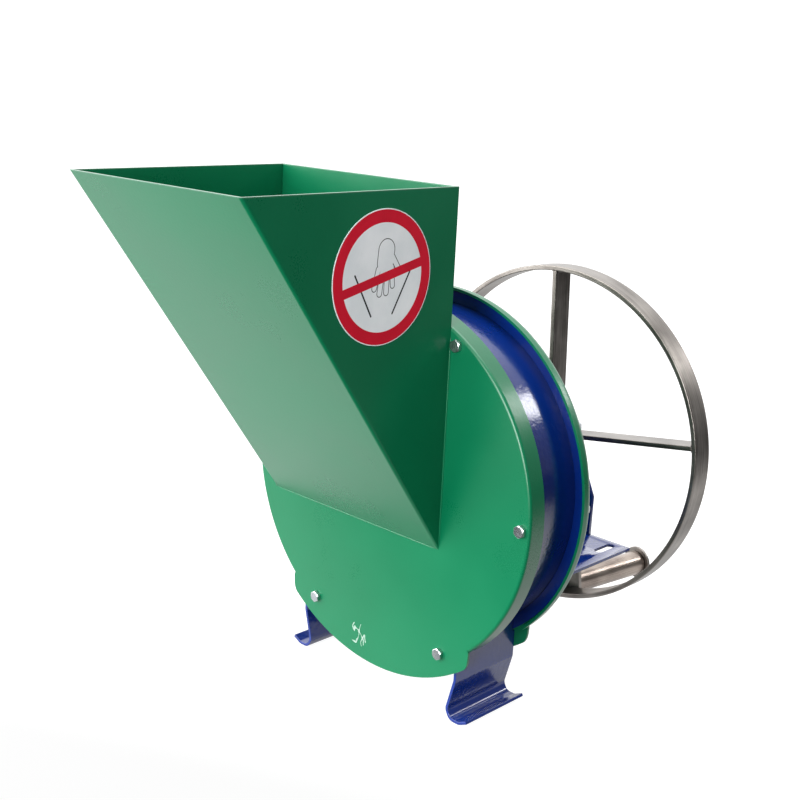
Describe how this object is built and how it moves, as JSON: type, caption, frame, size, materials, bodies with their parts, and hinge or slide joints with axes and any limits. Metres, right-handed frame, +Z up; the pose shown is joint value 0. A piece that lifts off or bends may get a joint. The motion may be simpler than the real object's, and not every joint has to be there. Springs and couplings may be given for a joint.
{
  "type": "hand-cranked fruit mill",
  "caption": "Hand-cranked fruit mill: sloping sheet-metal hopper on a round drum casing with feet, knife disc inside, spoked hand wheel and turning crank grip behind.",
  "frame": {"origin": "on the ground, under the middle of the bounding box, at the casing's centre plane across the machine", "axes": "+X to the right seen from the hopper side, +Y along the shaft from the hopper towards the hand wheel, +Z up"},
  "size_m": [0.3589, 0.6268, 0.483],
  "materials": {
    "green_enamel": "semi-gloss enamel",
    "blue_enamel": "semi-gloss enamel with orange peel",
    "printed_label": "printed vinyl",
    "zinc_plated_steel": "bright zinc",
    "cast_iron": "cast, painted dark",
    "knife_steel": "ground stainless steel",
    "bare_steel": "bare rolled steel, oiled"
  },
  "bodies": {
    "frame": {"front_cover": "green_enamel", "hopper_front_panel": "green_enamel", "hopper_right_panel": "green_enamel", "hopper_left_panel": "green_enamel", "hopper_back_panel": "green_enamel", "hopper_sign": "printed_label", "casing_ring": "blue_enamel", "front_flange": "blue_enamel", "rear_flange": "blue_enamel", "foot_right": "blue_enamel", "foot_left": "blue_enamel", "back_cover": "green_enamel", "front_cover_screws": "zinc_plated_steel", "front_cover_nuts": "zinc_plated_steel", "back_cover_screws": "zinc_plated_steel", "rear_shelf": "blue_enamel", "rear_upright": "blue_enamel", "front_bearing_housing": "cast_iron", "rear_bearing_housing": "cast_iron", "front_housing_screws": "zinc_plated_steel", "front_housing_nuts": "zinc_plated_steel", "rear_housing_screws": "zinc_plated_steel", "rear_housing_nuts": "zinc_plated_steel", "front_bearing_outer_race": "bare_steel", "front_bearing_balls": "bare_steel", "rear_bearing_outer_race": "bare_steel", "rear_bearing_balls": "bare_steel"},
    "rotor": {"shaft": "bare_steel", "cutting_disc": "knife_steel", "knife_1": "knife_steel", "knife_2": "knife_steel", "knife_3": "knife_steel", "knife_4": "knife_steel", "knife_screws": "zinc_plated_steel", "disc_hub": "bare_steel", "disc_hub_screws": "zinc_plated_steel", "disc_washer": "zinc_plated_steel", "disc_nut": "zinc_plated_steel", "front_bearing_inner_race": "bare_steel", "rear_bearing_inner_race": "bare_steel", "wheel_hub": "bare_steel", "wheel_spoke_1": "bare_steel", "wheel_spoke_2": "bare_steel", "wheel_spoke_3": "bare_steel", "wheel_spoke_4": "bare_steel", "wheel_rim": "bare_steel", "hub_key": "bare_steel", "wheel_washer": "zinc_plated_steel", "wheel_nut": "zinc_plated_steel", "handle_lug": "bare_steel", "handle_spindle": "bare_steel", "handle_cap": "bare_steel"},
    "grip": {"handle_grip": "bare_steel"}
  },
  "joints": [
    {"name": "rotor_spin", "type": "hinge", "parent": "frame", "child": "rotor", "pos_m": [0, -0.0834, 0.206], "axis": [0, 1, 0], "continuous": true},
    {"name": "grip_spin", "type": "hinge", "parent": "rotor", "child": "grip", "pos_m": [0.02114, 0.1966, 0.03379], "axis": [0.1374, 0.9905, 0], "continuous": true}
  ]
}
